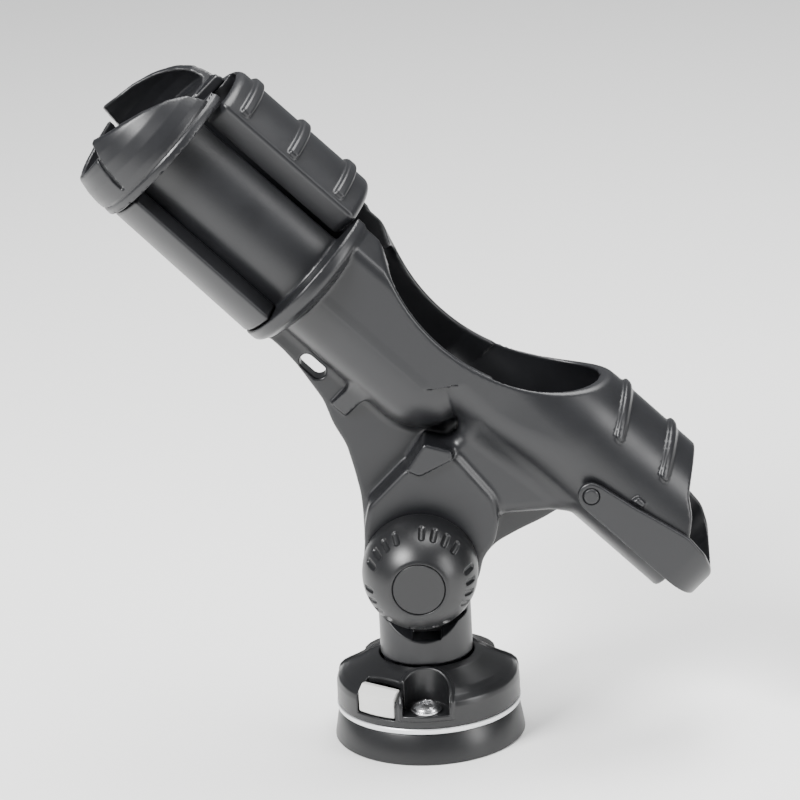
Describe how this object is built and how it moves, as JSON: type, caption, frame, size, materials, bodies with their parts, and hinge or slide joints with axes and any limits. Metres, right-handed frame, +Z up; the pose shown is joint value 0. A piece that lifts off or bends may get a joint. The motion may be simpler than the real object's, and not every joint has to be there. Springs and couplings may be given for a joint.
{
  "type": "rod holder",
  "caption": "Boat rod holder: open-topped tube cradle with a rotating collar, knob-clamped tilt pivot and a round quick-release deck port.",
  "frame": {"origin": "centre of the port's flat underside, on the deck", "axes": "+Z up off the deck, the rod tube leans to -X and up, the clamp knob faces -Y"},
  "size_m": [0.2476, 0.0874, 0.2905],
  "materials": {
    "black_plastic": "satin moulded, UV-stable nylon",
    "gasket_rubber": "matte",
    "trim_silver": "satin silver paint",
    "button_grey": "light grey satin moulding",
    "stainless": "plain stainless",
    "spring_steel": "plain",
    "brass_insert": "machined"
  },
  "bodies": {
    "port": {"base_ring": "black_plastic", "base_gasket": "gasket_rubber", "port_socket": "black_plastic", "trim_ring": "trim_silver", "port_cover": "black_plastic", "fixing_screws": "stainless", "lock_spring": "spring_steel"},
    "button": {"release_button": "button_grey", "lock_yoke": "button_grey"},
    "post": {"post": "black_plastic"},
    "cradle": {"cradle": "black_plastic", "pivot_bolt": "stainless"},
    "strap": {"butt_strap": "black_plastic"},
    "washer": {"clamp_washer": "stainless"},
    "knob": {"knob": "black_plastic", "knob_insert": "brass_insert", "knob_cap": "black_plastic"},
    "collar": {"collar": "black_plastic"}
  },
  "joints": [
    {"name": "button_press", "type": "slide", "parent": "port", "child": "button", "axis": [0.5664, 0.8241, 0], "range_m": [0, 0.003], "stiffness_N_per_m": 900, "springref_m": -0.0015},
    {"name": "post_lift", "type": "slide", "parent": "port", "child": "post", "axis": [0, 0, 1], "range_m": [0, 0.045]},
    {"name": "cradle_tilt", "type": "hinge", "parent": "post", "child": "cradle", "pos_m": [0, 0, 0.0815], "axis": [0, 1, 0], "range_deg": [-45, 30]},
    {"name": "knob_advance", "type": "slide", "parent": "cradle", "child": "washer", "axis": [0, -1, 0], "range_m": [0, 0.0025]},
    {"name": "knob_turn", "type": "hinge", "parent": "washer", "child": "knob", "pos_m": [0, -0.03, 0.0815], "axis": [0, -1, 0], "range_deg": [0, 720]},
    {"name": "collar_turn", "type": "hinge", "parent": "cradle", "child": "collar", "pos_m": [-0.06859, 0, 0.23353], "axis": [-0.7071, 0, 0.7071], "range_deg": [0, 78]},
    {"name": "strap_swing", "type": "hinge", "parent": "cradle", "child": "strap", "pos_m": [0.07177, 0, 0.11367], "axis": [0, 1, 0], "range_deg": [0, 30]}
  ],
  "couplings": [
    {"joint": "knob_advance", "follows": "knob_turn", "m_per_rad": 0.00019894}
  ]
}
